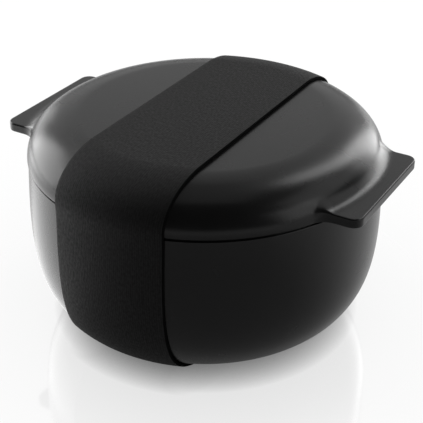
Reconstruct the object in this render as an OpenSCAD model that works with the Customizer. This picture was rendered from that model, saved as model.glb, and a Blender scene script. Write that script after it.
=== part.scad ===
// Round lunch box: a deep bowl, a flat-topped lid with two lifting tabs, a steel food tray
// inside and a wide elastic band that holds the closed box together.
// Millimetres. The origin is on the table under the middle of the box, +Z is up and the
// tabs point along X. The band runs round the box in the YZ plane, so the box stands on it.

/* [Bowl] */
// Outer diameter of the bowl at its rim
rim_d = 152; // [130:1:180]
// Height of the bowl from its base to its rim
bowl_h = 76.5; // [64:0.1:98]
// Diameter of the flat base
base_d = 53; // [40:1:80]
// How far the pull of the wall curve leans out past the rim
wall_lean = 4.1; // [0:0.1:6]
// How far down the bowl the wall stays upright, as a share of its height
wall_fullness = 0.75; // [0.6:0.01:0.9]
// Thickness of the wall below the tray ledge
bowl_wall = 3; // [2.6:0.1:4]
// Thickness of the floor
bowl_floor = 3; // [2:0.1:4]
// Thickness of the wall round the mouth, above the tray ledge
mouth_wall = 1.6; // [1.2:0.1:1.8]

/* [Lid] */
// Height of the lid above the rim of the bowl
lid_h = 17; // [13:0.1:24]
// How far the edge of the lid stands out past the rim of the bowl
lid_lip = 0.5; // [0:0.1:1]
// Diameter of the flat top
plateau_d = 106; // [84:0.1:116]
// How far up the lid its side stays upright, as a share of its height
shoulder_fullness = 0.84; // [0.6:0.01:1]
// Length of the pull that eases the shoulder into the flat top
plateau_pull = 5; // [1:0.1:10]
// Thickness of the top and the shoulder
lid_wall = 2.2; // [1.6:0.1:3]
// Depth of the spigot that drops into the mouth of the bowl
spigot_drop = 6; // [5:0.1:9]
// Thickness of the spigot wall
spigot_wall = 3; // [2.6:0.1:4]
// Clearance between the spigot and the mouth of the bowl
spigot_gap = 0.9; // [0.7:0.1:1.2]

/* [Tabs] */
// How far a tab stands out past the edge of the lid
tab_out = 8.9; // [6:0.1:20]
// Width of a tab
tab_w = 61; // [40:1:80]
// Thickness of a tab
tab_t = 4; // [2.5:0.05:5]
// Radius of the outer corners of a tab, seen from above
tab_corner = 4.5; // [2:0.1:6]
// Radius of the hollow flares where a tab runs into the round wall
tab_flare = 8.6; // [3:0.1:14]
// Radius of the cove where the top of a tab sweeps up into the shoulder
tab_cove = 9; // [3:0.1:10]
// Radius of the rounded top edge of a tab
tab_edge = 0.5; // [0.3:0.1:1.4]

/* [Seal] */
// Height of the seal and of its groove round the spigot
seal_h = 3; // [2:0.1:3.6]
// Depth of the groove
seal_depth = 1.6; // [1:0.1:1.8]
// Height of the spigot left under the groove
seal_lift = 1.4; // [1:0.1:2]
// Thickness of each of the two sealing lips
seal_lip = 0.9; // [0.6:0.1:1]
// Clearance between the relaxed lips and the mouth of the bowl
seal_gap = 0.3; // [0.2:0.05:0.5]

/* [Food tray] */
// Depth of the tray under the top of its flange
tray_depth = 30; // [20:1:40]
// Thickness of the steel sheet
tray_sheet = 0.8; // [0.5:0.1:1.2]
// Diameter of the flat bottom of the tray
tray_base_d = 92; // [60:1:110]
// How far down the tray its side stays upright, as a share of its depth
tray_fullness = 0.75; // [0.5:0.01:0.9]
// Thickness of the hemmed flange that hangs on the ledge
tray_hem = 1.2; // [0.8:0.1:2]
// Clearance between the side of the tray and the wall of the bowl
tray_play = 2.5; // [1.5:0.1:5]
// Clearance round the flange and under the spigot
flange_gap = 0.4; // [0.3:0.05:0.7]

/* [Band] */
// Width of the elastic
band_w = 50; // [25:1:60]
// Thickness of the elastic
band_t = 1.2; // [0.8:0.1:2]
// Clearance between the elastic and the box
band_gap = 0.3; // [0.2:0.05:0.6]
// Height above the table where the lower run of the band ends
band_low_z = 30; // [20:1:40]
// Height above the table where the upper run of the band begins
band_high_z = 60; // [45:1:68]

/* [Hidden] */

// Steps along a side curve, and sides of the large, the middle and the small rounds
curve_steps = 20;
round_fn = 180;
arc_fn = 96;
bead_fn = 48;
// Reach of a cutter past the solid, overlap of joined cutters, and the ease of a rounded edge
cut_over = 1;
cut_overlap = 0.02;
edge_ease = 1.2;

rim_r = rim_d / 2;
lid_r = rim_r + lid_lip;
base_r = base_d / 2;
plateau_r = plateau_d / 2;

// Heights above the table
base_z = band_t + band_gap;
rim_z = base_z + bowl_h;
lid_z = rim_z + lid_h;
spigot_z = rim_z - spigot_drop;
ledge_z = spigot_z - flange_gap - tray_hem;
tray_z = ledge_z + tray_hem - tray_depth;
tab_z = rim_z + tab_t;
seal_z = spigot_z + seal_lift;

// Radii that seat one piece in another
inside_r = rim_r - bowl_wall;
mouth_r = rim_r - mouth_wall;
spigot_r = mouth_r - spigot_gap;
hollow_r = spigot_r - spigot_wall;
groove_r = spigot_r - seal_depth;
lip_r = mouth_r - seal_gap;
flange_r = mouth_r - flange_gap;
tray_r = inside_r - tray_play;
tab_reach = lid_r + tab_out;

// Side curves as four control points [radius, height], from the foot of each curve upwards
bowl_curve = [[base_r, base_z], [rim_r, base_z],
    [rim_r + wall_lean, rim_z - wall_fullness * bowl_h], [rim_r, rim_z]];
inside_curve = [[base_r, base_z + bowl_floor], [inside_r, base_z + bowl_floor],
    [inside_r, rim_z - wall_fullness * bowl_h], [inside_r, rim_z]];
lid_curve = [[lid_r, rim_z], [lid_r, rim_z + shoulder_fullness * lid_h],
    [plateau_r + plateau_pull, lid_z], [plateau_r, lid_z]];
tray_curve = [[tray_base_d / 2, tray_z], [tray_r, tray_z],
    [tray_r, tray_z + (1 - tray_fullness) * tray_depth], [tray_r, ledge_z]];

// Point, direction and outward normal of a cubic curve at t from 0 to 1
function curve_point(c, t) = pow(1 - t, 3) * c[0] + 3 * t * pow(1 - t, 2) * c[1]
    + 3 * t * t * (1 - t) * c[2] + pow(t, 3) * c[3];
function curve_way(c, t) = pow(1 - t, 2) * (c[1] - c[0]) + 2 * t * (1 - t) * (c[2] - c[1])
    + t * t * (c[3] - c[2]);
function curve_normal(c, t) = let (way = curve_way(c, t)) [way.y, -way.x] / norm(way);

// Points of a side curve, moved out by grow, up to a share of its length
function side(c, grow = 0, last = curve_steps) = [for (i = [0 : last])
    curve_point(c, i / curve_steps) + grow * curve_normal(c, i / curve_steps)];

// Outline of the closed box from base to top, moved out by grow
function box_outline(grow) = concat([[0, base_z - grow]], side(bowl_curve, grow, curve_steps - 1),
    side(lid_curve, grow), [[0, lid_z + grow]]);

// Place on the shoulder where a cove of radius tab_cove, resting on the top of a tab, touches it
function cove_height(t) = curve_point(lid_curve, t).y + tab_cove * (curve_normal(lid_curve, t).y - 1);
function cove_place(low = 0, high = 1, turns = 24) = let (mid = (low + high) / 2)
    turns == 0 ? mid
    : cove_height(mid) < tab_z ? cove_place(mid, high, turns - 1)
    : cove_place(low, mid, turns - 1);

module revolve(points) {
    rotate_extrude($fn = round_fn) polygon(points);
}

// Ring of rectangular section
module ring(inner_r, outer_r, low_z, high_z) {
    rotate_extrude($fn = round_fn)
        translate([inner_r, low_z]) square([outer_r - inner_r, high_z - low_z]);
}

module bowl() {
    color("#2a2a2c") difference() {
        revolve(concat([[0, base_z]], side(bowl_curve), [[0, rim_z]]));
        revolve(concat([[0, base_z + bowl_floor]], side(inside_curve),
            [[inside_r, rim_z + cut_over], [0, rim_z + cut_over]]));
        translate([0, 0, ledge_z]) cylinder(r = mouth_r, h = rim_z - ledge_z + cut_over, $fn = round_fn);
    }
}

// Outline of the tab along +X, seen from above: straight sides, rounded outer corners and
// hollow flares that touch both the sides and the round wall
module tab_outline() {
    half_w = tab_w / 2;
    flare_y = half_w + tab_flare;
    flare_x = sqrt(pow(lid_r + tab_flare, 2) - pow(flare_y, 2));
    touch = lid_r / (lid_r + tab_flare) * [flare_x, flare_y];
    translate([0, -half_w]) square([tab_reach - tab_corner, tab_w]);
    translate([0, tab_corner - half_w]) square([tab_reach, tab_w - 2 * tab_corner]);
    for (s = [-1, 1]) {
        translate([tab_reach - tab_corner, s * (half_w - tab_corner)]) circle(r = tab_corner, $fn = arc_fn);
        difference() {
            polygon([[0, 0], [flare_x, s * half_w], [flare_x, s * flare_y], [touch.x, s * touch.y]]);
            translate([flare_x, s * flare_y]) circle(r = tab_flare, $fn = arc_fn);
        }
    }
}

// Section of the cove between the top of a tab and the shoulder, as [radius, height]
module cove_section() {
    touch = curve_point(lid_curve, cove_place());
    centre = [touch.x + tab_cove * curve_normal(lid_curve, cove_place()).x, tab_z + tab_cove];
    difference() {
        polygon([[hollow_r, rim_z], [centre.x, rim_z], centre, touch, [hollow_r, touch.y]]);
        translate(centre) circle(r = tab_cove, $fn = arc_fn);
    }
}

// Corner that is cut away to ease an edge at the origin whose solid lies at -X and -Y: the
// round meets both faces at a slight angle
module edge_section() {
    centre = edge_ease * tab_edge;
    difference() {
        translate([-tab_edge, -tab_edge]) square(tab_edge + cut_over);
        translate([-centre, -centre]) circle(r = norm([centre, centre - tab_edge]), $fn = bead_fn);
    }
}

// What rounds the top edge of a tab along its outer edge, corners and straight sides
module tab_edge_cut() {
    half_w = tab_w / 2;
    flare_x = sqrt(pow(lid_r + tab_flare, 2) - pow(half_w + tab_flare, 2));
    corner_x = tab_reach - tab_corner;
    corner_y = half_w - tab_corner;
    translate([tab_reach, corner_y + cut_overlap, tab_z])
        rotate([90, 0, 0]) linear_extrude(2 * (corner_y + cut_overlap)) edge_section();
    for (s = [0, 1]) mirror([0, s, 0]) {
        translate([corner_x, corner_y, tab_z])
            rotate_extrude(angle = 90, $fn = arc_fn) translate([tab_corner, 0]) edge_section();
        translate([corner_x + cut_overlap, half_w, tab_z])
            rotate([90, 0, -90]) linear_extrude(corner_x + cut_overlap - flare_x)
                mirror([1, 0]) edge_section();
    }
}

// One lifting tab along +X, with its cove
module tab() {
    difference() {
        union() {
            translate([0, 0, rim_z]) linear_extrude(tab_t) tab_outline();
            intersection() {
                translate([0, 0, rim_z]) linear_extrude(lid_h) tab_outline();
                rotate_extrude($fn = round_fn) cove_section();
            }
        }
        tab_edge_cut();
    }
}

module lid() {
    color("#2a2a2c") difference() {
        union() {
            revolve(concat([[0, rim_z]], side(lid_curve), [[0, lid_z]]));
            translate([0, 0, spigot_z])
                cylinder(r = spigot_r, h = spigot_drop + lid_wall, $fn = round_fn);
            for (turn = [0, 180]) rotate(turn) tab();
        }
        rotate_extrude($fn = round_fn) intersection() {
            polygon(concat([[0, spigot_z - cut_over], [lid_r, spigot_z - cut_over]],
                side(lid_curve, -lid_wall), [[0, lid_z - lid_wall]]));
            translate([0, spigot_z - cut_over]) square([hollow_r, lid_z]);
        }
        ring(groove_r, mouth_r, seal_z, seal_z + seal_h);
    }
}

// Silicone ring in the groove of the spigot, with two round lips towards the mouth of the bowl
module lid_seal() {
    color("#4a4a4c") rotate_extrude($fn = round_fn) {
        translate([groove_r, seal_z]) square([seal_depth, seal_h]);
        for (z = [seal_z + seal_lip / 2, seal_z + seal_h - seal_lip / 2])
            translate([lip_r - seal_lip / 2, z]) circle(d = seal_lip, $fn = bead_fn);
    }
}

// Pressed steel dish that hangs by its hemmed flange on the ledge inside the bowl
module food_tray() {
    color("silver") difference() {
        union() {
            revolve(concat([[0, tray_z]], side(tray_curve), [[0, ledge_z]]));
            rotate_extrude($fn = round_fn) {
                translate([0, ledge_z]) square([flange_r - tray_hem / 2, tray_hem]);
                translate([flange_r - tray_hem / 2, ledge_z + tray_hem / 2])
                    circle(d = tray_hem, $fn = bead_fn);
            }
        }
        revolve(concat([[0, tray_z + tray_sheet]], side(tray_curve, -tray_sheet),
            [[tray_r - tray_sheet, ledge_z + tray_hem + cut_over], [0, ledge_z + tray_hem + cut_over]]));
    }
}

// Stretch of the elastic between two heights: a skin over the closed box, cut to the band's width
module band_run(low_z, high_z) {
    reach = rim_r + wall_lean + band_gap + band_t;
    color("#1b1b1d") intersection() {
        difference() {
            revolve(box_outline(band_gap + band_t));
            revolve(box_outline(band_gap));
        }
        translate([-band_w / 2, -reach, low_z]) cube([band_w, 2 * reach, high_z - low_z]);
    }
}

module band_lower() {
    band_run(-cut_over, band_low_z);
}

module band_sides() {
    band_run(band_low_z, band_high_z);
}

module band_upper() {
    band_run(band_high_z, lid_z + band_gap + band_t + cut_over);
}

bowl();
lid();
lid_seal();
food_tray();
band_lower();
band_sides();
band_upper();
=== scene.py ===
import bpy
import math
import numpy as np
from mathutils import Euler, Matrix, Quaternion, Vector


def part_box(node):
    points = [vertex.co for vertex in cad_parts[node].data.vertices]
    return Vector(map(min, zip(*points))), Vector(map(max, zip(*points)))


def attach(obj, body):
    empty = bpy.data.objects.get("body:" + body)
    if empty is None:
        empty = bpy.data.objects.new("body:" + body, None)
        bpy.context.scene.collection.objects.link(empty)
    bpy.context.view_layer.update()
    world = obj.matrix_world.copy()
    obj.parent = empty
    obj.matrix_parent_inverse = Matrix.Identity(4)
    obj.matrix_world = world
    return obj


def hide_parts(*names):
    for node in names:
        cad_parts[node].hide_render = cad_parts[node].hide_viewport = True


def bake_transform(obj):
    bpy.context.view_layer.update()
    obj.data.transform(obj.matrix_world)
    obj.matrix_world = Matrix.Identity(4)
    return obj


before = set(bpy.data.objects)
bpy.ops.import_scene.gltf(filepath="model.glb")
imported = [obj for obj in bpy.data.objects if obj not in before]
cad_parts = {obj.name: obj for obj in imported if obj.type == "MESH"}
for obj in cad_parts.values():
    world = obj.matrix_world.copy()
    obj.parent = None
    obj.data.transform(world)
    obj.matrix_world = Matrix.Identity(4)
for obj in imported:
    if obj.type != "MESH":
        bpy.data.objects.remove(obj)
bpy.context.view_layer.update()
mm = 0.001
print("frame loaded:", sorted(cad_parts))

# Sizes read from the frame, in metres
bowlLow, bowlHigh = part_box("bowl")
lidLow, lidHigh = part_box("lid")
trayLow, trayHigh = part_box("food_tray")
sealLow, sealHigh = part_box("lid_seal")
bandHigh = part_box("band_upper")[1]
baseZ, rimZ, lidZ, spigotZ = bowlLow.z, bowlHigh.z, lidHigh.z, lidLow.z
lidR, tabReach, bandHalf = lidHigh.y, lidHigh.x, bandHigh.x

# The curved sides as four pulls each, (radius, height), from the foot upwards
boxSides = {
    "baseR": 26.5 * mm,
    "wallLean": 4.1 * mm,
    "wallFullness": 0.75,
    "lidLip": 0.5 * mm,
    "plateauR": 53 * mm,
    "shoulderFullness": 0.84,
    "plateauPull": 5 * mm,
}
rimR = lidR - boxSides["lidLip"]
wallPullZ = rimZ - boxSides["wallFullness"] * (rimZ - baseZ)
bowlSide = np.array([
    (boxSides["baseR"], baseZ), (rimR, baseZ),
    (rimR + boxSides["wallLean"], wallPullZ), (rimR, rimZ)])
lidSide = np.array([
    (lidR, rimZ), (lidR, rimZ + boxSides["shoulderFullness"] * (lidZ - rimZ)),
    (boxSides["plateauR"] + boxSides["plateauPull"], lidZ), (boxSides["plateauR"], lidZ)])


# Smooth step from 0 to 1: x squared times (3 - 2x)
def smoothStep(x):
    x = np.clip(x, 0, 1)
    return x * x * (3 - 2 * x)


# Cubic curve: each pull weighted by its Bernstein polynomial in t
def sideAt(pulls, t):
    t = np.asarray(t, float)[..., None]
    a, b, c, d = pulls
    return (1 - t) ** 3 * a + 3 * t * (1 - t) ** 2 * b + 3 * t * t * (1 - t) * c + t ** 3 * d


# Outward normal of a cubic curve: its direction of travel turned a quarter clockwise
def sideNormal(pulls, t):
    t = np.asarray(t, float)[..., None]
    a, b, c, d = pulls
    way = (1 - t) ** 2 * (b - a) + 2 * t * (1 - t) * (c - b) + t * t * (d - c)
    way = way / np.linalg.norm(way, axis=-1, keepdims=True)
    return np.stack([way[..., 1], -way[..., 0]], -1)


# Profile with rounded corners: each inner corner becomes a quadratic curve that leaves the straight
# one ease before the corner and joins the next one ease after it. A support point stands beyond each
# end of the curve, by that share of the ease
def roundedProfile(points, eases, steps=6, support=0.4):
    points = np.array(points, float)
    before, here, after = points[:-2], points[1:-1], points[2:]
    eases = np.array(eases, float)[:, None]
    toBefore = (before - here) / np.linalg.norm(before - here, axis=1, keepdims=True)
    toAfter = (after - here) / np.linalg.norm(after - here, axis=1, keepdims=True)
    start, end = here + eases * toBefore, here + eases * toAfter
    t = np.linspace(0, 1, steps)[None, :, None]
    arcs = (1 - t) ** 2 * start[:, None] + 2 * t * (1 - t) * here[:, None] + t * t * end[:, None]
    beyond = support * eases
    rows = np.concatenate(
        [(start + beyond * toBefore)[:, None], arcs, (end + beyond * toAfter)[:, None]], 1)
    return np.concatenate([points[:1], rows.reshape(-1, 2), points[-1:]])


# Profile of a flat disc from its middle out, evenly spaced, with its outer edge left off
def discProfile(radius, height, rings):
    r = np.linspace(0, radius, rings)[:-1]
    return np.stack([r, np.full_like(r, height)], -1)


# Mesh from points, quads and triangles, turned so that its closed volume is positive
def meshObject(name, points, quads, triangles=None, uv=None):
    triangles = np.zeros((0, 3), int) if triangles is None else triangles
    split = np.concatenate([quads[:, [0, 1, 2]], quads[:, [0, 2, 3]], triangles])
    a, b, c = points[split[:, 0]], points[split[:, 1]], points[split[:, 2]]
    if (a * np.cross(b, c)).sum() < 0:
        quads, triangles = quads[:, ::-1], triangles[:, ::-1]
    corners = np.concatenate([quads.ravel(), triangles.ravel()])
    counts = np.concatenate([np.full(len(quads), 4), np.full(len(triangles), 3)])
    mesh = bpy.data.meshes.new(name)
    mesh.vertices.add(len(points))
    mesh.vertices.foreach_set("co", points.astype(np.float32).ravel())
    mesh.loops.add(len(corners))
    mesh.loops.foreach_set("vertex_index", corners.astype(np.int32))
    mesh.polygons.add(len(counts))
    mesh.polygons.foreach_set("loop_start", (np.cumsum(counts) - counts).astype(np.int32))
    mesh.update(calc_edges=True)
    if uv is not None:
        layer = mesh.uv_layers.new(name="weave")
        layer.data.foreach_set("uv", uv[corners].astype(np.float32).ravel())
    mesh.validate()
    mesh.shade_smooth()
    thing = bpy.data.objects.new(name, mesh)
    bpy.context.scene.collection.objects.link(thing)
    return thing


# Quads between neighbouring rings of a grid of (rings, around) points that closes round the second way
def ringQuads(rings, around, closeRings=False):
    ring = np.arange(rings if closeRings else rings - 1)[:, None]
    turn = np.arange(around)[None, :]
    nextRing, nextTurn = (ring + 1) % rings, (turn + 1) % around
    return np.stack([
        ring * around + turn, nextRing * around + turn,
        nextRing * around + nextTurn, ring * around + nextTurn], -1).reshape(-1, 4)


# Closed surface from rings (rings, around, 3) whose first and last rings are poles on the axis
def poleObject(name, rings):
    first, last, body = rings[0].mean(0), rings[-1].mean(0), rings[1:-1]
    count, around = body.shape[:2]
    points = np.concatenate([body.reshape(-1, 3), [first, last]])
    turn = np.arange(around)
    nextTurn = (turn + 1) % around
    top = np.stack([np.full(around, count * around), turn, nextTurn], -1)
    lastRing = (count - 1) * around
    bottom = np.stack([np.full(around, count * around + 1), lastRing + nextTurn, lastRing + turn], -1)
    return meshObject(name, points, ringQuads(count, around), np.concatenate([top, bottom]))


# Profile of (radius, height) carried round the Z axis: x = r cos, y = r sin
def spun(profile, around):
    angle = np.linspace(0, 2 * np.pi, around, endpoint=False)
    r, z = profile[:, :1], profile[:, 1:]
    return np.stack([r * np.cos(angle), r * np.sin(angle), z + 0 * angle], -1)


# Bowl, from the middle of its floor out, up the inside, over the rim and down the outside
bowlDict = {
    "wall": 3 * mm,
    "floor": 3 * mm,
    "mouthWall": 1.6 * mm,
    "ledgeDrop": 7.6 * mm,
    "partingDeep": 1.1 * mm,
    "partingIn": 0.9 * mm,
    "ledgeClear": 1.0 * mm,  # where the curves stop below the rim's first and last corners
    "partingClear": 0.7 * mm,
    "rimEases": (0.3, 0.2, 0.25, 0.12, 0.15, 0.3),  # in mm, corner by corner from the ledge outwards
    "samples": 400,
    "insideEvery": 6,
    "outsideEvery": 4,
    "floorRings": 8,
    "around": 300,
}


# Profile spun about Z: a cubic curve inside, a stepped rim with eased corners, a cubic curve outside.
# The groove of the parting line is a rebate in the rim, under the lid's edge
def bowlRings():
    size = bowlDict
    inR, mouthR, landR = (rimR - size[part] for part in ("wall", "mouthWall", "partingIn"))
    floorZ, ledgeZ = baseZ + size["floor"], rimZ - size["ledgeDrop"]
    partingZ = rimZ - size["partingDeep"]
    insideSide = np.array([(boxSides["baseR"], floorZ), (inR, floorZ), (inR, wallPullZ), (inR, rimZ)])
    t = np.linspace(0, 1, size["samples"])
    inside, outside = sideAt(insideSide, t), sideAt(bowlSide, t)
    brinkR = np.interp(partingZ, outside[:, 1], outside[:, 0])
    inside = inside[inside[:, 1] < ledgeZ - size["ledgeClear"]][::size["insideEvery"]]
    outside = outside[outside[:, 1] < partingZ - size["partingClear"]][::size["outsideEvery"]][::-1]
    rim = roundedProfile(
        [inside[-1], (inR, ledgeZ), (mouthR, ledgeZ), (mouthR, rimZ), (landR, rimZ),
         (landR, partingZ), (brinkR, partingZ), outside[0]],
        np.array(size["rimEases"]) * mm)
    floorRows = discProfile(boxSides["baseR"], floorZ, size["floorRings"])
    baseRows = discProfile(boxSides["baseR"], baseZ, size["floorRings"])[::-1]
    return spun(np.concatenate([floorRows, inside[:-1], rim, outside[1:], baseRows]), size["around"])


bowl = poleObject("bowl_shell", bowlRings())
print("bowl:", len(bowl.data.polygons), "faces")

# Lid with its two tabs, one surface from the middle of the top out over the shoulder and the tabs,
# round under them and back up inside to the middle
lidDict = {
    "wall": 2.2 * mm,
    "spigotR": rimR - 2.5 * mm,
    "hollowR": rimR - 5.5 * mm,
    "grooveR": rimR - 4.1 * mm,
    "rimEase": 0.45 * mm,
    "tabHalf": 30.5 * mm,
    "tabThick": 4 * mm,
    "corner": 4.5 * mm,
    "flare": 8.6 * mm,
    "cove": 9 * mm,
    "tabEdge": 0.8 * mm,
    "flareEdge": 1.7 * mm,
    "fanIn": 4 * mm,  # how far inside the outline each profile line is aimed
    "quarterSteps": (18, 16, 10, 30, 46),  # along the tab's edge, corner and side, the flare and the wall
    "samples": 4001,
    "plateauRings": 12,
    "slopeRings": 44,
    "topRows": 27,
    "edgeRows": 8,
    "faceRows": (0.08, 0.2, 0.35, 0.5, 0.65, 0.8, 0.92, 1),  # shares of the way down the tab's face
    "rimRows": 6,
    "underRows": (0.05, 0.2, 0.375, 0.55, 0.725, 0.9),  # shares of the way in under the tab
    "spigotLead": 0.6 * mm,
    "innerEases": (0.2, 0.15, 0.15, 0.15, 0.15, 0.4, 0.5, 0.4),  # in mm, from the spigot's root inwards
    "innerSteps": 4,
    "roofDrop": 0.4 * mm,
    "roofClear": 0.6 * mm,
    "roofEvery": 90,
    "roofRings": 10,
}


# One quarter of the lid seen from above, as points, outward normals, the bearing of each profile line
# where it leaves the shoulder, and how far it is tab (1) and not wall (0): half the outer edge of the tab,
# its round corner, its straight side, the hollow flare that touches the wall, then the wall itself
def lidQuarter():
    size = lidDict
    edgeSteps, bendSteps, sideSteps, flareSteps, wallSteps = size["quarterSteps"]
    corner, flare, quarterTurn = size["corner"], size["flare"], np.pi / 2
    cornerX, cornerY = tabReach - corner, size["tabHalf"] - corner
    flareY = size["tabHalf"] + flare
    flareX = math.sqrt((lidR + flare) ** 2 - flareY ** 2)
    touch = math.atan2(flareY, flareX)
    edge = np.linspace(0, cornerY, edgeSteps, endpoint=False)
    bend = np.linspace(0, quarterTurn, bendSteps, endpoint=False)
    straight = np.linspace(cornerX, flareX, sideSteps, endpoint=False)
    hollow = np.linspace(quarterTurn, touch, flareSteps, endpoint=False)
    wall = np.linspace(touch, quarterTurn, wallSteps)
    points = np.concatenate([
        np.stack([np.full_like(edge, tabReach), edge], -1),
        np.stack([cornerX + corner * np.cos(bend), cornerY + corner * np.sin(bend)], -1),
        np.stack([straight, np.full_like(straight, size["tabHalf"])], -1),
        np.stack([flareX - flare * np.cos(hollow), flareY - flare * np.sin(hollow)], -1),
        lidR * np.stack([np.cos(wall), np.sin(wall)], -1)])
    bearing = np.concatenate([0 * edge, bend, 0 * straight + quarterTurn, hollow, wall])
    normals = np.stack([np.cos(bearing), np.sin(bearing)], -1)
    inner = points - size["fanIn"] * normals
    swell = smoothStep((hollow - touch) / (quarterTurn - touch))
    swell = np.concatenate([np.ones(len(edge) + len(bend) + len(straight)), swell, 0 * wall])
    return points, normals, np.arctan2(inner[:, 1], inner[:, 0]), swell


# The quarter mirrored to the whole outline, counterclockwise
def lidOutline():
    points, normals, fan, swell = lidQuarter()
    flipX, flipY = np.array([-1, 1]), np.array([1, -1])
    points = np.concatenate([points, points[-2::-1] * flipX])
    normals = np.concatenate([normals, normals[-2::-1] * flipX])
    fan = np.concatenate([fan, np.pi - fan[-2::-1]])
    swell = np.concatenate([swell, swell[-2::-1]])
    points = np.concatenate([points, points[-2:0:-1] * flipY])
    normals = np.concatenate([normals, normals[-2:0:-1] * flipY])
    fan = np.concatenate([fan, 2 * np.pi - fan[-2:0:-1]])
    return points, normals, fan, np.concatenate([swell, swell[-2:0:-1]])


# Profile lines that leave the middle in a fan, run over the shoulder, then lie between the bare wall
# (swell 0) and the tab (swell 1), and go back inside along the fan
def lidRings():
    size = lidDict
    points, normals, fan, swell = lidOutline()
    fanWay = np.stack([np.cos(fan), np.sin(fan)], -1)
    reach = np.linalg.norm(points, axis=1)
    aside = fanWay[:, 0] * points[:, 1] - fanWay[:, 1] * points[:, 0]
    slant = np.arctan2(aside, (fanWay * points).sum(1))
    cove, rimEase, tabZ = size["cove"], size["rimEase"], rimZ + size["tabThick"]
    # the cove touches the shoulder where its circle, resting on the tab, is tangent to it
    t = np.linspace(0, 1, size["samples"])
    shoulder, outward = sideAt(lidSide, t), sideNormal(lidSide, t)
    rest = shoulder[:, 1] + cove * (outward[:, 1] - 1)
    lower = size["samples"] // 2
    place = np.interp(tabZ, rest[:lower], t[:lower])
    touchR, touchZ = sideAt(lidSide, place)
    coveR = touchR + cove * sideNormal(lidSide, place)[0]

    def topHeight(r):  # circle of the cove from the shoulder down, then the flat tab
        drop = np.clip(coveR - r, 0, cove)
        return tabZ + cove - np.sqrt(cove ** 2 - drop ** 2)

    def fanRow(r, z):
        return np.concatenate([r * fanWay, np.full((len(fan), 1), z)], 1)

    # the tab's skin: its top in plan from the shoulder to the outline, its eased edge, then its face
    ease = size["flareEdge"] + (size["tabEdge"] - size["flareEdge"]) * swell
    along = np.linspace(0, 1, size["topRows"])[1:, None, None]
    topPlan = (1 - along) * touchR * fanWay + along * (points - ease[:, None] * normals)
    top = np.concatenate([topPlan, topHeight(np.linalg.norm(topPlan, axis=-1))[..., None]], -1)
    startZ, brinkZ = top[-1][:, 2], topHeight(reach)
    over = np.linspace(0, 1, size["edgeRows"])[1:, None]
    edgePlan = points - ((1 - over) ** 2 * ease)[..., None] * normals
    edgeZ = (1 - over) ** 2 * startZ + 2 * over * (1 - over) * brinkZ + over * over * (brinkZ - ease)
    down = np.array(size["faceRows"])[:, None]
    faceZ = (1 - down) * (brinkZ - ease) + down * (rimZ + rimEase)
    sidePlan = np.concatenate([edgePlan, np.repeat(points[None], len(down), 0)])
    sideZ = np.concatenate([edgeZ, faceZ])[..., None]
    tabSkin = np.concatenate([top, np.concatenate([sidePlan, sideZ], -1)])
    # the bare wall's lines start along the fan and end below their own place on the outline
    wallEase, wallBrink = size["flareEdge"], topHeight(lidR)
    wallZ = np.concatenate([
        touchZ + along[:, 0] * (wallBrink - touchZ), wallBrink - over * wallEase,
        (1 - down) * (wallBrink - wallEase) + down * (rimZ + rimEase)])[:, 0]
    spread = np.concatenate([along[:, 0], np.ones((len(wallZ) - len(along), 1))])
    turned = fan + slant * spread
    wallR = np.interp(wallZ, shoulder[:, 1], shoulder[:, 0])[:, None] * (1 + (reach / lidR - 1) * spread)
    wallPlan = wallR[..., None] * np.stack([np.cos(turned), np.sin(turned)], -1)
    wallSkin = np.concatenate([wallPlan, np.repeat(wallZ[:, None, None], len(fan), 1)], -1)
    skin = (1 - swell[:, None]) * wallSkin + swell[:, None] * tabSkin
    # round under the rim, then in under the tabs to the spigot
    under = np.linspace(0, 1, size["rimRows"])[1:, None, None]
    roundPlan = points - rimEase * under ** 2 * normals
    roundZ = rimZ + rimEase * (1 - under) ** 2 + 0 * roundPlan[..., :1]
    rounded = np.concatenate([roundPlan, roundZ], -1)
    inwards = np.array(size["underRows"])[:, None, None]
    flatPlan = (1 - inwards) * (points - rimEase * normals) + inwards * size["spigotR"] * fanWay
    flat = np.concatenate([flatPlan, rimZ + 0 * flatPlan[..., :1]], -1)
    # the top from its middle, and the spigot, its groove and the hollow inside
    plateau = [fanRow(r, z) for r, z in discProfile(boxSides["plateauR"], lidZ, size["plateauRings"])]
    slope = [fanRow(r, z) for r, z in sideAt(lidSide, np.linspace(1, place, size["slopeRings"]))]
    spigotR, grooveR, hollowR = size["spigotR"], size["grooveR"], size["hollowR"]
    hollow = shoulder - size["wall"] * outward
    hollow = hollow[hollow[:, 0] < hollowR - size["roofClear"]][::size["roofEvery"]]
    roofZ = np.interp(-hollowR, -hollow[:, 0], hollow[:, 1])
    inner = roundedProfile(
        [(spigotR + size["spigotLead"], rimZ), (spigotR, rimZ), (spigotR, sealHigh.z),
         (grooveR, sealHigh.z), (grooveR, sealLow.z), (spigotR, sealLow.z),
         (spigotR, spigotZ), (hollowR, spigotZ), (hollowR, roofZ - size["roofDrop"]), hollow[0]],
        np.array(size["innerEases"]) * mm, steps=size["innerSteps"])
    roof = discProfile(boxSides["plateauR"], lidZ - size["wall"], size["roofRings"])[::-1]
    inside = [fanRow(r, z) for r, z in np.concatenate([inner[1:], hollow[1:], roof])]
    return np.concatenate([plateau, slope, skin, rounded, flat, inside])


lid = poleObject("lid_shell", lidRings())
print("lid:", len(lid.data.polygons), "faces")

# Silicone ring: its back in the groove, two round lips outwards
sealDict = {"lip": 0.45 * mm, "clear": 0.04 * mm, "valley": 0.1 * mm, "lipSteps": 9, "around": 240}


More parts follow.
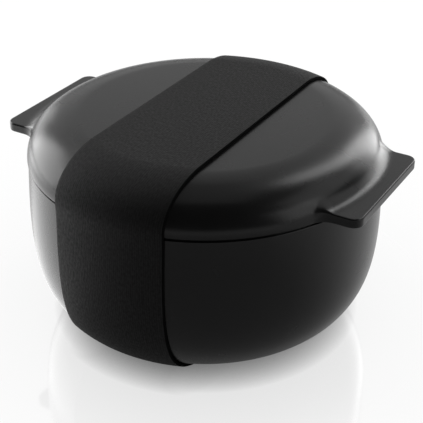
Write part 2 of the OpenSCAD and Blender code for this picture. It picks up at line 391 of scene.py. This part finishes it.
# Section spun about Z: two half rounds with a valley between them, and a straight back
def sealRings():
    size = sealDict
    backR, lipR = lidDict["grooveR"] + size["clear"], sealHigh.x - size["lip"]
    low, high = sealLow.z + size["clear"], sealHigh.z - size["clear"]
    middle = (low + high) / 2
    turn = np.linspace(np.pi / 2, -np.pi / 2, size["lipSteps"])
    lip = size["lip"] * np.stack([np.cos(turn), np.sin(turn)], -1)
    valley = np.array([[lidDict["spigotR"] - size["valley"], middle]])
    back = np.array([[backR, low], [backR, middle], [backR, high]])
    section = np.concatenate([
        lip + (lipR, high - size["lip"]), valley, lip + (lipR, low + size["lip"]), back])
    return spun(section, size["around"])


sealGrid = sealRings()
seal = meshObject("lid_gasket", sealGrid.reshape(-1, 3), ringQuads(*sealGrid.shape[:2], closeRings=True))

# Food tray, from the middle of its floor out, up the inside, over the hemmed flange and down the outside
trayDict = {
    "sheet": 0.8 * mm,
    "hem": 1.2 * mm,
    "baseR": 46 * mm,
    "sideR": rimR - 5.5 * mm,
    "fullness": 0.75,
    "hemClear": 1.2 * mm,  # where the sides stop below the hem's corners
    "hemEases": (1.1, 0.59, 0.59, 0.5),  # in mm, corner by corner from the inside out
    "hemSteps": 8,
    "sideSteps": 61,
    "floorRings": 10,
    "around": 260,
}


# Profile spun about Z: a cubic curve outside, the same set in along its normal inside, and an eased hem
def trayRings():
    size = trayDict
    lowZ, highZ, flangeR, sideR = trayLow.z, trayHigh.z, trayHigh.x, size["sideR"]
    ledgeZ = highZ - size["hem"]
    turnZ = lowZ + (1 - size["fullness"]) * (highZ - lowZ)
    side = np.array([(size["baseR"], lowZ), (sideR, lowZ), (sideR, turnZ), (sideR, ledgeZ)])
    t = np.linspace(0, 1, size["sideSteps"])
    outer, inner = sideAt(side, t), sideAt(side, t) - size["sheet"] * sideNormal(side, t)
    hemLow = ledgeZ - size["hemClear"]
    inner, outer = inner[inner[:, 1] < hemLow], outer[outer[:, 1] < hemLow][::-1]
    hem = roundedProfile(
        [inner[-1], (sideR - size["sheet"], highZ), (flangeR, highZ),
         (flangeR, ledgeZ), (sideR, ledgeZ), outer[0]],
        np.array(size["hemEases"]) * mm, steps=size["hemSteps"])
    floorRows = discProfile(size["baseR"], lowZ + size["sheet"], size["floorRings"])
    baseRows = discProfile(size["baseR"], lowZ, size["floorRings"])[::-1]
    return spun(np.concatenate([floorRows, inner[:-1], hem, outer[1:], baseRows]), size["around"])


tray = poleObject("steel_tray", trayRings())
print("seal and tray made")

# Elastic band: one loop in two lengths that meet at mid height, laid on the closed box
bandDict = {
    "thick": 1.2 * mm,
    "gap": 0.3 * mm,
    "edge": 0.3 * mm,
    "edgeSteps": 5,
    "meetZ": 51 * mm,
    "across": 49,
    "bowlSteps": 90,
    "baseSteps": 40,
    "rimSteps": 40,
    "lidSteps": 70,
    "topSteps": 70,
    "bridge": 0.03,  # share of each side's curve that is left out where the band crosses the parting line
    "samples": 2001,
    "stretch": 1.08,
    "weavePitch": 0.9 * mm,
    "lowerBlend": (41 * mm, 51 * mm),
    "upperBlend": (52 * mm, 72 * mm),
}


# Section of the elastic: width across the band and distance out from the box, two faces joined at each
# selvedge by a quarter round, a square side and another quarter round
def bandSection():
    size = bandDict
    low, high, edge = size["gap"], size["gap"] + size["thick"], size["edge"]
    flat = np.linspace(-bandHalf + edge, bandHalf - edge, size["across"])
    turn = np.linspace(0, np.pi / 2, size["edgeSteps"])
    sideX = bandHalf - edge + edge * np.concatenate([np.sin(turn[1:]), np.cos(turn[:-1])])
    sideOut = np.concatenate([high - edge + edge * np.cos(turn[1:]), low + edge - edge * np.sin(turn[:-1])])
    x = np.concatenate([flat, sideX, flat[::-1], -sideX])
    out = np.concatenate([np.full_like(flat, high), sideOut, np.full_like(flat, low), low + high - sideOut])
    return x, out


# Strip of elastic: at each step along the box, foot (radius, height), outward normal and side from -1 to 1,
# the strip lies at y = side times the root of (radius squared - x squared), moved out along the normal
def bandStrip(name, foot, normal, side):
    x, out = bandSection()
    r = foot[:, :1] + out * normal[:, :1]
    y = side[:, None] * np.sqrt(r ** 2 - x ** 2)
    z = foot[:, 1:] + out * normal[:, 1:]
    points = np.stack([np.broadcast_to(x, y.shape), y, z], -1)
    steps, around = y.shape
    across, pitch = bandDict["across"], bandDict["weavePitch"]
    middle = points[:, across // 2]
    run = np.concatenate([[0], np.cumsum(np.linalg.norm(np.diff(middle, axis=0), axis=1))])
    whole = round(run[-1] / pitch) * pitch
    along = (run * whole / run[-1])[:, None]
    uv = np.stack([np.broadcast_to(x, y.shape), np.broadcast_to(along, y.shape)], -1)
    # each cut end is closed by quads between the two faces, and between the two halves of each selvedge
    turns = len(x) // 2 - across
    front, back = np.arange(across), len(x) - turns - 1 - np.arange(across)
    cap = [np.stack([front[:-1], front[1:], back[1:], back[:-1]], -1)]
    for first, last in ((across - 1, across + turns), (2 * across + turns - 1, len(x))):
        rim = np.arange(first, last + 1) % len(x)
        pair = np.arange(len(rim) // 2 - 1)
        cap.append(np.stack([rim[pair], rim[pair + 1], rim[-2 - pair], rim[-1 - pair]], -1))
    cap = np.concatenate(cap)
    quads = np.concatenate([ringQuads(steps, around), cap, (steps - 1) * around + cap[:, ::-1]])
    strip = meshObject(name, points.reshape(-1, 3), quads, uv=uv.reshape(-1, 2))
    # edges within the first and the last ring are sharp
    ends = np.zeros(len(strip.data.edges) * 2, np.int32)
    strip.data.edges.foreach_get("vertices", ends)
    sharp = ((ends.reshape(-1, 2) // around) % (steps - 1) == 0).all(1)
    strip.data.attributes.new("sharp_edge", "BOOLEAN", "EDGE").data.foreach_set("value", sharp)
    return strip, float(run[-1])


# Lower length: down the front, under the base and up the back. Upper length: up, over the lid and down.
# Each follows the box's curves in front, then a flat disc, where side goes evenly from -1 to 1, and the
# same curves behind
def bandStrips():
    size = bandDict

    def laid(name, curves, discR, discZ, discUp, steps):
        foot = np.concatenate([sideAt(side, t) for side, t in curves])
        normal = np.concatenate([sideNormal(side, t) for side, t in curves])
        disc = np.tile([[discR, discZ]], (steps - 2, 1))
        up = np.tile([[0.0, discUp]], (steps - 2, 1))
        return bandStrip(
            name, np.concatenate([foot, disc, foot[::-1]]), np.concatenate([normal, up, normal[::-1]]),
            np.concatenate([-np.ones(len(foot)), np.linspace(-1, 1, steps)[1:-1], np.ones(len(foot))]))

    t = np.linspace(0, 1, size["samples"])
    meet = np.interp(size["meetZ"], sideAt(bowlSide, t)[:, 1], t)
    down = np.linspace(meet, 0, size["bowlSteps"])
    up = np.linspace(meet, 1 - size["bridge"], size["rimSteps"])
    over = np.linspace(size["bridge"], 1, size["lidSteps"])
    lower = laid("band_under", [(bowlSide, down)], boxSides["baseR"], baseZ, -1.0, size["baseSteps"])
    upper = laid(
        "band_over", [(bowlSide, up), (lidSide, over)], boxSides["plateauR"], lidZ, 1.0, size["topSteps"])
    return lower, upper


(bandUnder, underRun), (bandOver, overRun) = bandStrips()
print("band: loop", round(underRun + overRun, 4), "m")


# A socket of a node tree: arithmetic on it adds Math nodes
class Socket:
    def __init__(self, finish, link):
        self.finish, self.link = finish, link

    def math(self, operation, *values):
        return self.finish.node("ShaderNodeMath", {"operation": operation}, dict(enumerate(values)))

    def __add__(self, other):
        return self.math("ADD", self, other)

    def __radd__(self, other):
        return self.math("ADD", other, self)

    def __sub__(self, other):
        return self.math("SUBTRACT", self, other)

    def __rsub__(self, other):
        return self.math("SUBTRACT", other, self)

    def __mul__(self, other):
        return self.math("MULTIPLY", self, other)

    def __rmul__(self, other):
        return self.math("MULTIPLY", other, self)

    def __truediv__(self, other):
        return self.math("DIVIDE", self, other)


def grey(value):
    return (value, value, value, 1)


# Number that swings about its middle as the value goes from 0 to 1
def drift(value, middle, swing):
    return middle + 2 * swing * (value - 0.5)


# A material or world whose nodes come from one method: type, settings, then socket values or links
class Finish:
    def __init__(self, holder):
        holder.use_nodes = True
        self.holder, self.tree = holder, holder.node_tree
        self.tree.nodes.clear()

    def node(self, kind, settings=None, sockets=None, output=0):
        made = self.tree.nodes.new(kind)
        for key, value in (settings or {}).items():
            setattr(made, key, value)
        for key, value in (sockets or {}).items():
            if isinstance(value, Socket):
                self.tree.links.new(value.link, made.inputs[key])
            else:
                made.inputs[key].default_value = value
        return Socket(self, made.outputs[output]) if made.outputs else None

    def coordinate(self, output):
        return self.node("ShaderNodeTexCoord", output=output)

    def ray(self, kind):
        return self.node("ShaderNodeLightPath", output=kind)

    def vector(self, operation, first, second=(0, 0, 0), output="Vector"):
        return self.node("ShaderNodeVectorMath", {"operation": operation}, {0: first, 1: second}, output)

    def noise(self, where, scale, detail):
        return self.node("ShaderNodeTexNoise", None, {"Vector": where, "Scale": scale, "Detail": detail})

    def bump(self, height, strength, distance):
        return self.node("ShaderNodeBump", None, {
            "Height": height, "Strength": strength, "Distance": distance})

    def greyDrift(self, value, middle, swing):  # as drift, for a grey: sockets 6 and 7 are the two colours
        return self.node("ShaderNodeMix", {"data_type": "RGBA"}, {
            0: value, 6: grey(middle - swing), 7: grey(middle + swing)}, output=2)

    def fade(self, value, span, ends=(0.0, 1.0)):  # smooth step between the ends over the span
        return self.node("ShaderNodeMapRange", {"interpolation_type": "SMOOTHSTEP"}, {
            "Value": value, "From Min": span[0], "From Max": span[1], "To Min": ends[0], "To Max": ends[1]})

    def mixed(self, factor, first, second):
        return self.node("ShaderNodeMixShader", None, {0: factor, 1: first, 2: second})

    def surface(self, shader):
        isWorld = isinstance(self.holder, bpy.types.World)
        kind = "ShaderNodeOutputWorld" if isWorld else "ShaderNodeOutputMaterial"
        self.node(kind, None, {"Surface": shader})
        return self.holder


# Satin moulded plastic: near black, a fine eroded grain and slow drifts of shade and gloss
plasticDict = {
    "shade": 0.004,
    "shadeDrift": 0.001,
    "rough": 0.27,
    "roughDrift": 0.03,
    "gloss": 0.18,
    "driftScale": 38.0,
    "driftDetail": 3.0,
    "grainScale": 2600.0,
    "grainDetail": 2.0,
    "grainBump": 0.12,
    "grainHeight": 0.02 * mm,
    "bowlPlace": (0, 0, 0),  # where each moulding starts in the noise
    "lidPlace": (0.3, 0.1, 0.2),
}


def satinPlastic(name, place):
    look = plasticDict
    finish = Finish(bpy.data.materials.new(name))
    where = finish.node("ShaderNodeMapping", None, {
        "Vector": finish.coordinate("Object"), "Location": place})
    slow = finish.noise(where, look["driftScale"], look["driftDetail"])
    grain = finish.noise(where, look["grainScale"], look["grainDetail"])
    shader = finish.node("ShaderNodeBsdfPrincipled", None, {
        "Base Color": finish.greyDrift(slow, look["shade"], look["shadeDrift"]),
        "Roughness": drift(slow, look["rough"], look["roughDrift"]),
        "Normal": finish.bump(grain, look["grainBump"], look["grainHeight"]),
        "Specular IOR Level": look["gloss"]})
    return finish.surface(shader)


# Woven elastic: lengthwise ribs crossed by a finer weft, mottled by lint, with painted shadow that makes its
# selvedges near black
elasticDict = {
    "shade": 0.003,
    "shadeDrift": 0.0018,
    "rough": 0.7,
    "roughDrift": -0.125,  # smoother where the tone is lighter
    "gloss": 0.14,
    "sheen": 0.012,
    "sheenRough": 0.4,
    "rib": 0.9 * mm,
    "ribStart": 0.25,  # share of a rib between the middle of the band and the trough before it
    "weft": 0.6 * mm,
    "lint": 0.8 * mm,
    "lintDetail": 2.0,
    "lintStretch": (1.0, 0.5, 1.0),
    "relief": (0.4, 0.25, 0.7),  # shares of the ribs, the weft and the lint in the height and in the tone
    "tone": (0.15, 0.1, 0.75),
    "toneSpan": (0.3, 0.7),
    "bump": 0.6,
    "bumpHeight": 0.12 * mm,
    # painted shadow on the selvedges: where it starts, where it is full, its shade, roughness and gloss
    "selvedge": 0.4 * mm,
    "selvedgeFull": 0.16 * mm,
    "selvedgePaintedShadow": 0.0015,
    "selvedgeRough": 0.95,
    "selvedgeGloss": 0.03,
}


def wovenElastic():
    look = elasticDict
    finish = Finish(bpy.data.materials.new("woven elastic"))
    uv = finish.coordinate("UV")
    across, along = (finish.node("ShaderNodeSeparateXYZ", None, {0: uv}, axis) for axis in ("X", "Y"))

    def wave(phase):  # sine of the phase, brought to 0 to 1
        return phase.math("SINE", phase) * 0.5 + 0.5

    # every other rib has its weft half a turn further on
    ribs = wave(across * (2 * math.pi / look["rib"]))
    step = across.math("FLOOR", across / look["rib"] + look["ribStart"]) * math.pi
    weft = wave(along * (2 * math.pi / look["weft"]) + step)
    where = finish.vector("MULTIPLY", uv, look["lintStretch"])
    lint = finish.noise(where, 1 / look["lint"], look["lintDetail"])

    def woven(shares):
        return shares[0] * ribs + shares[1] * weft + shares[2] * lint

    toneLow, toneHigh = look["toneSpan"]
    tone = finish.node("ShaderNodeMapRange", None, {
        "Value": woven(look["tone"]), "From Min": toneLow, "From Max": toneHigh})
    bump = finish.bump(woven(look["relief"]), look["bump"], look["bumpHeight"])
    face = finish.node("ShaderNodeBsdfPrincipled", None, {
        "Base Color": finish.greyDrift(tone, look["shade"], look["shadeDrift"]),
        "Roughness": drift(tone, look["rough"], look["roughDrift"]), "Normal": bump,
        "Specular IOR Level": look["gloss"],
        "Sheen Weight": look["sheen"], "Sheen Roughness": look["sheenRough"]})
    # painted shadow: near each edge the band blends to a near-black matte shader for the shadow line along
    # it
    edge = finish.node("ShaderNodeBsdfPrincipled", None, {
        "Base Color": grey(look["selvedgePaintedShadow"]), "Roughness": look["selvedgeRough"], "Normal": bump,
        "Specular IOR Level": look["selvedgeGloss"]})
    paintedEdgeShadow = finish.fade(
        across.math("ABSOLUTE", across), (bandHalf - look["selvedge"], bandHalf - look["selvedgeFull"]))
    return finish.surface(finish.mixed(paintedEdgeShadow, face, edge))


# Silicone: soft dark grey with a faint mould bloom
siliconeDict = {
    "shade": 0.05,
    "shadeDrift": 0.01,
    "rough": 0.55,
    "roughDrift": 0.05,
    "bloomScale": 120.0,
    "bloomDetail": 4.0,
}


def softSilicone():
    look = siliconeDict
    finish = Finish(bpy.data.materials.new("silicone"))
    bloom = finish.noise(finish.coordinate("Object"), look["bloomScale"], look["bloomDetail"])
    shader = finish.node("ShaderNodeBsdfPrincipled", None, {
        "Base Color": finish.greyDrift(bloom, look["shade"], look["shadeDrift"]),
        "Roughness": drift(bloom, look["rough"], look["roughDrift"])})
    return finish.surface(shader)


# Spun steel: fine rings about the axis in the shade, the roughness and the bump
steelDict = {
    "shade": 0.62,
    "shadeDrift": 0.05,
    "rough": 0.3,
    "roughDrift": 0.09,
    "ring": 0.35 * mm,
    "ringDetail": 3.0,
    "ringBump": 0.15,
    "ringHeight": 0.03 * mm,
}


def spunSteel():
    look = steelDict
    finish = Finish(bpy.data.materials.new("spun steel"))
    where = finish.coordinate("Object")
    radius = finish.vector("LENGTH", finish.vector("MULTIPLY", where, (1, 1, 0)), output="Value")
    height = finish.node("ShaderNodeSeparateXYZ", None, {0: where}, "Z")
    path = finish.node("ShaderNodeCombineXYZ", None, {0: radius, 1: height})
    rings = finish.noise(path, 1 / look["ring"], look["ringDetail"])
    shader = finish.node("ShaderNodeBsdfPrincipled", None, {
        "Base Color": finish.greyDrift(rings, look["shade"], look["shadeDrift"]), "Metallic": 1.0,
        "Roughness": drift(rings, look["rough"], look["roughDrift"]),
        "Normal": finish.bump(rings, look["ringBump"], look["ringHeight"])})
    return finish.surface(shader)


lidPlastic = satinPlastic("satin lid plastic", plasticDict["lidPlace"])
bowlPlastic = satinPlastic("satin bowl plastic", plasticDict["bowlPlace"])
elastic = wovenElastic()
for piece, finish, slot in (
        (bowl, bowlPlastic, "black_plastic"), (lid, lidPlastic, "black_plastic"),
        (seal, softSilicone(), "silicone"), (tray, spunSteel(), "steel"),
        (bandUnder, elastic, "elastic"), (bandOver, elastic, "elastic")):
    piece.data.materials.append(finish)
for piece, body, node in (
        (bowl, "bowl", "bowl"), (lid, "lid", "lid"), (seal, "lid", "lid_seal"), (tray, "tray", "food_tray")):
    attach(piece, body)
    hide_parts(node)


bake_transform(bandUnder)
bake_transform(bandOver)
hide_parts("band_lower", "band_sides")
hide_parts("band_upper", "band_sides")
underRun / bandDict["stretch"]
overRun / bandDict["stretch"]
print("pieces dressed")

# Camera, as the photograph is framed
cameraDict = {
    "place": (0.20982, -0.35411, 0.28889),
    "aim": (0.00088, 0.00376, 0.0438),
    "roll": 0.002,
    "lens": 90.59,
    "sensor": 36,
    "clip": (0.01, 50),
}
eye = bpy.data.objects.new("eye", bpy.data.cameras.new("eye"))
eye.data.lens, eye.data.sensor_width = cameraDict["lens"], cameraDict["sensor"]
eye.data.clip_start, eye.data.clip_end = cameraDict["clip"]
eye.location = cameraDict["place"]
gaze = Vector(cameraDict["aim"]) - Vector(cameraDict["place"])
eye.rotation_mode = "QUATERNION"
eye.rotation_quaternion = gaze.to_track_quat("-Z", "Y") @ Quaternion((0, 0, 1), cameraDict["roll"])
bpy.context.scene.collection.objects.link(eye)
bpy.context.scene.camera = eye

# Floor: white and glossy, with painted shadow close to the box and a patch of painted shade that mirror
# images see
floorDict = {
    "size": 3.0,
    "white": 0.965,
    # painted shadow: the white is darkened close to the box, near and wide
    "near": 12 * mm,  # how far away something still darkens the white, and how dark it gets
    "nearDark": 0.12,
    "wide": 150 * mm,
    "wideDark": 0.84,
    "lit": 0.03,
    # painted shade: a patch of floor that mirror images see darker
    "frontAt": 0.17,  # the patch that mirror images see darker: its distance, its fading edge, its shade
    "front": (0.1, 0.24),
    "frontDark": 0.42,
    "gloss": 0.13,
    "glossReach": (0.07, 0.16),
    "rough": 0.06,
    "bounce": 0.9,
}


# The camera, mirror images and glass see a white darkened by painted shadow close to the box, that takes a
# little of the lamps' light. To the camera it is also a mirror that fades out with distance. Mirror images
# see a round patch of painted shade on the camera's side of the box. Light that bounces sees matte white
def whiteFloorPaintedShadow():
    look = floorDict
    finish = Finish(bpy.data.materials.new("white floor with painted shadow"))
    camera, glossy, through = (
        finish.ray(kind) for kind in ("Is Camera Ray", "Is Glossy Ray", "Is Transmission Ray"))
    spot = finish.coordinate("Object")

    # painted shadow: ambient occlusion darkens the floor's white beside the box
    def openness(reach, darkest):  # from the darkest, right beside the box, to 1 in the open
        clear = finish.node("ShaderNodeAmbientOcclusion", None, {"Distance": reach}, "AO")
        return darkest + (1 - darkest) * clear

    towards = Vector((cameraDict["place"][0], cameraDict["place"][1], 0)).normalized()
    away = finish.vector("DISTANCE", spot, look["frontAt"] * towards, "Value")
    # painted shade: the patch in front is darker for every ray but the camera's
    front = (1 - camera) * finish.fade(away, look["front"], (1.0, 0.0))
    bright = openness(look["near"], look["nearDark"]) * openness(look["wide"], look["wideDark"])
    bright = bright * (1 - (1 - look["frontDark"]) * front) * look["white"]
    colour = finish.node("ShaderNodeCombineColor", None, {0: bright, 1: bright, 2: bright})
    white = finish.node("ShaderNodeEmission", None, {"Color": colour, "Strength": 1.0})
    lit = finish.node("ShaderNodeBsdfDiffuse", None, {"Color": grey(look["lit"])})
    seen = finish.node("ShaderNodeAddShader", None, {0: white, 1: lit})
    mirror = finish.node("ShaderNodeBsdfGlossy", None, {"Color": grey(1), "Roughness": look["rough"]})
    matte = finish.node("ShaderNodeBsdfDiffuse", None, {"Color": grey(look["bounce"])})
    fromMiddle = finish.vector("LENGTH", spot, output="Value")
    gloss = camera * finish.fade(fromMiddle, look["glossReach"], (look["gloss"], 0.0))
    seen = finish.mixed(gloss, seen, mirror)
    looking = camera.math("MAXIMUM", camera, camera.math("MAXIMUM", glossy, through))
    return finish.surface(finish.mixed(looking, matte, seen))


half = floorDict["size"] / 2
floorCorners = half * np.array([(-1, -1, 0), (1, -1, 0), (1, 1, 0), (-1, 1, 0)])
floor = meshObject("floor", floorCorners, np.array([[0, 1, 2, 3]]))
floor.data.materials.append(whiteFloorPaintedShadow())

# Studio: soft boxes by bearing and height round the box, in degrees, and their radiance, in a dim room
lampDict = {
    "left": {"bearing": 182, "height": 18, "size": (0.8, 0.7), "radiance": 7.2},
    "leftBack": {"bearing": 156, "height": 6, "size": (0.38, 0.3), "radiance": 2.2},
    "leftHigh": {"bearing": 160, "height": 48, "size": (0.35, 0.35), "radiance": 1.3},
    "rightBack": {"bearing": 77, "height": 17, "size": (0.28, 0.66), "radiance": 8.6},
    "rightBackLow": {"bearing": 62, "height": 15, "size": (0.24, 0.52), "radiance": 2.8},
    "rightBackEdge": {"bearing": 91, "height": 2, "size": (0.2, 0.22), "radiance": 1.5},
    "rightBackHigh": {"bearing": 73, "height": 48, "size": (0.2, 0.5), "radiance": 7.6},
    "right": {"bearing": 0, "height": 18, "size": (0.5, 0.65), "radiance": 2.6},
    "rightHigh": {"bearing": 26, "height": 40, "size": (0.7, 0.55), "radiance": 1.6},
    "back": {"bearing": 121, "height": 35, "size": (1.1, 1.1), "radiance": 0.92},
    "top": {"bearing": 121, "height": 85, "size": (0.6, 0.6), "radiance": 0.6},
}
studioDict = {"reach": 1.0, "aim": (0, 0, 0.05), "room": 0.08}
# White cards lying on the floor to the left of the box, that light its wall from below, turned by degrees
cardDict = {
    "nearCard": {"place": (-0.39, -0.03, 0.004), "turn": -18, "size": (0.68, 0.2), "radiance": 1.8},
    "farCard": {"place": (-0.67, -0.13, 0.003), "turn": 0, "size": (0.56, 0.5), "radiance": 3.2},
}


# Rectangular lamp that the camera doesn't see: its power is pi times its radiance times its area
def softBox(name, place, turn, size, radiance):
    light = bpy.data.lights.new(name, "AREA")
    light.shape = "RECTANGLE"
    light.size, light.size_y = size
    light.energy = radiance * math.pi * light.size * light.size_y
    box = bpy.data.objects.new(name, light)
    box.location, box.rotation_mode, box.rotation_quaternion = place, "QUATERNION", turn
    box.visible_camera = False
    bpy.context.scene.collection.objects.link(box)


for name, lamp in lampDict.items():
    bearing, height = math.radians(lamp["bearing"]), math.radians(lamp["height"])
    level = math.cos(height)
    way = Vector((math.cos(bearing) * level, math.sin(bearing) * level, math.sin(height)))
    place = Vector(studioDict["aim"]) + studioDict["reach"] * way
    softBox(name, place, (-way).to_track_quat("-Z", "Y"), lamp["size"], lamp["radiance"])
for name, card in cardDict.items():
    faceUp = Euler((math.pi, 0, math.radians(card["turn"]))).to_quaternion()
    softBox(name, card["place"], faceUp, card["size"], card["radiance"])

# Beyond the floor the camera sees plain white, and all other light the dim room
world = bpy.data.worlds.new("studio")
bpy.context.scene.world = world
beyond = Finish(world)
dim = beyond.node("ShaderNodeBackground", None, {"Color": grey(studioDict["room"])})
plain = beyond.node("ShaderNodeBackground", None, {"Color": grey(1)})
beyond.surface(beyond.mixed(beyond.ray("Is Camera Ray"), dim, plain))

bpy.context.scene.view_settings.view_transform = "Standard"
print("stage set")
